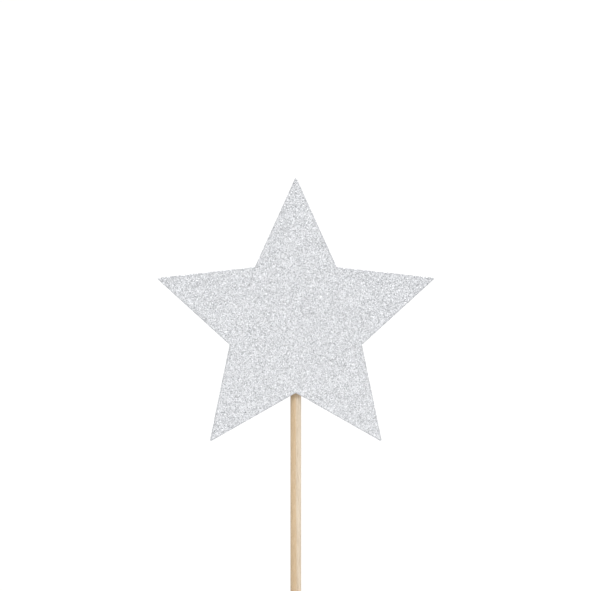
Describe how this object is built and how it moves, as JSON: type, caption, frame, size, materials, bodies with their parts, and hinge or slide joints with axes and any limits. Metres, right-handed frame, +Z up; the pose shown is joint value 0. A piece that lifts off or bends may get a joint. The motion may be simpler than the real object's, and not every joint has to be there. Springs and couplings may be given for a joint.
{
  "type": "cake topper",
  "caption": "Star of silver glitter card glued to a slim, sharpened wooden pick that is pushed into a cake or cupcake.",
  "frame": {"origin": "on the pick's axis, 28 mm above its lower tip, level with the top of the cake it is pushed into", "axes": "+Z up along the pick to the star, the star's glittered front faces -Y, +X to the viewer's right"},
  "size_m": [0.05, 0.0029, 0.0945],
  "materials": {
    "card_paper": "matt white card core and back",
    "binder": "clear glossy coat under the flakes",
    "glitter": "silver-white metallised flakes, fine glitter",
    "pick_wood": "bare pale wood, turned and sharpened",
    "hot_melt": "cloudy translucent hot-melt glue"
  },
  "bodies": {
    "root": {"card_base": "card_paper", "binder_coat": "binder", "glitter_layer": "glitter", "pick": "pick_wood", "glue_bead": "hot_melt"}
  },
  "joints": []
}
